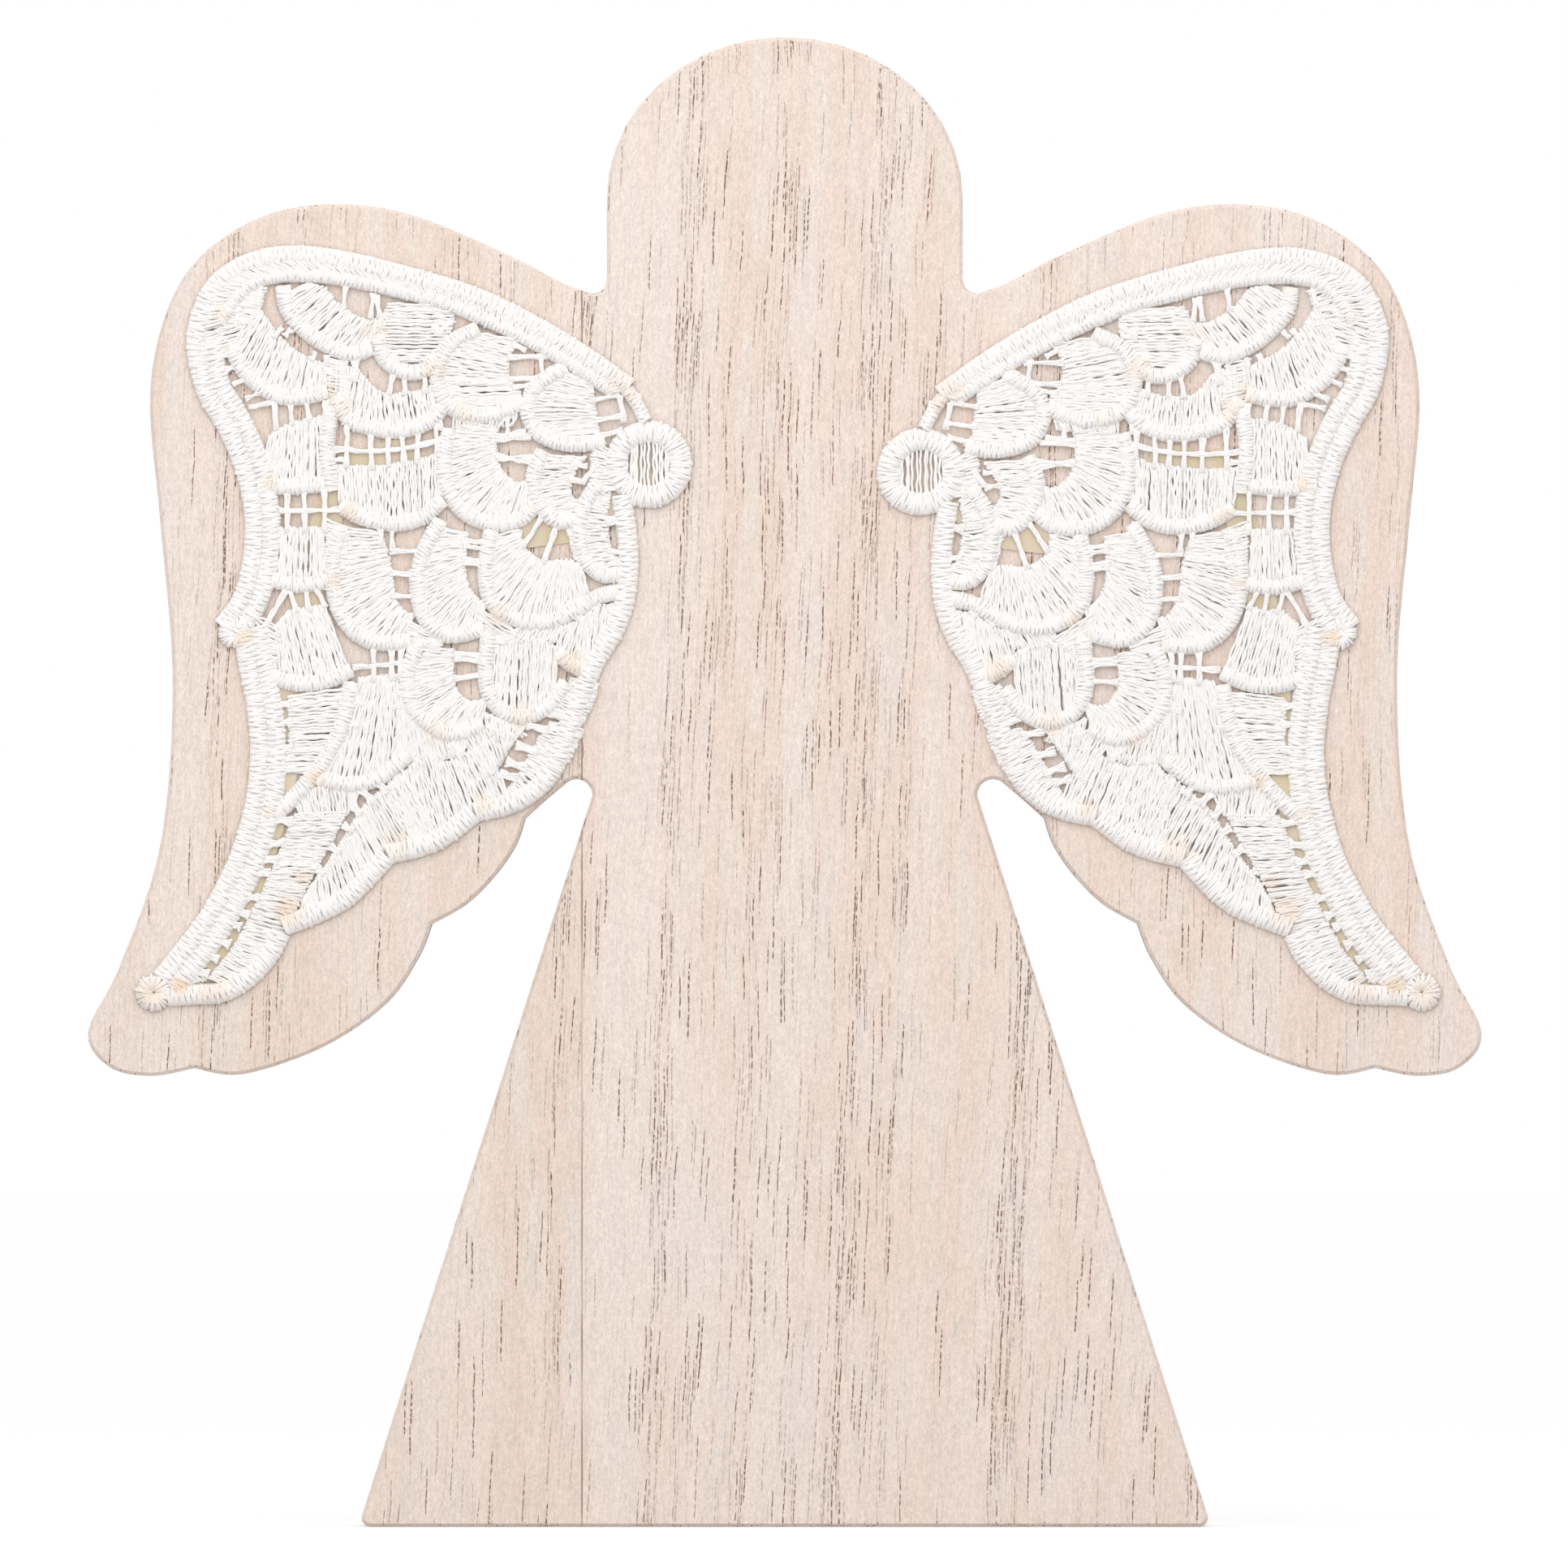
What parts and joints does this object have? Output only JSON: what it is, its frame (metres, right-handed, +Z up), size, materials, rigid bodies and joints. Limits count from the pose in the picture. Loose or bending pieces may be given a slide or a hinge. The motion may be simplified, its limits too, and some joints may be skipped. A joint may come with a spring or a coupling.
{
  "type": "wooden angel ornament",
  "caption": "Flat standing angel cut from a whitewashed wooden board, with a white embroidered lace wing glued to the front of each wooden wing.",
  "frame": {"origin": "middle of the foot's flat face, halfway through the board", "axes": "+X to the right as seen from the front, +Z up towards the head, the lace front faces -Y"},
  "size_m": [0.1202, 0.0163, 0.1285],
  "materials": {
    "body_wood": "matte whitewash with open pores",
    "left_wood": "matte whitewash with open pores",
    "wood_glue": "thin set glue line",
    "lace": "satin-stitched embroidery thread",
    "lace_adhesive": "thin clear adhesive film"
  },
  "bodies": {
    "root": {"body_stave": "body_wood", "left_wing_stave": "left_wood", "left_skirt_stave": "left_wood", "upper_glue_line": "wood_glue", "lower_glue_line": "wood_glue", "left_lace_wing": "lace", "right_lace_wing": "lace", "left_lace_adhesive": "lace_adhesive", "right_lace_adhesive": "lace_adhesive"}
  },
  "joints": []
}
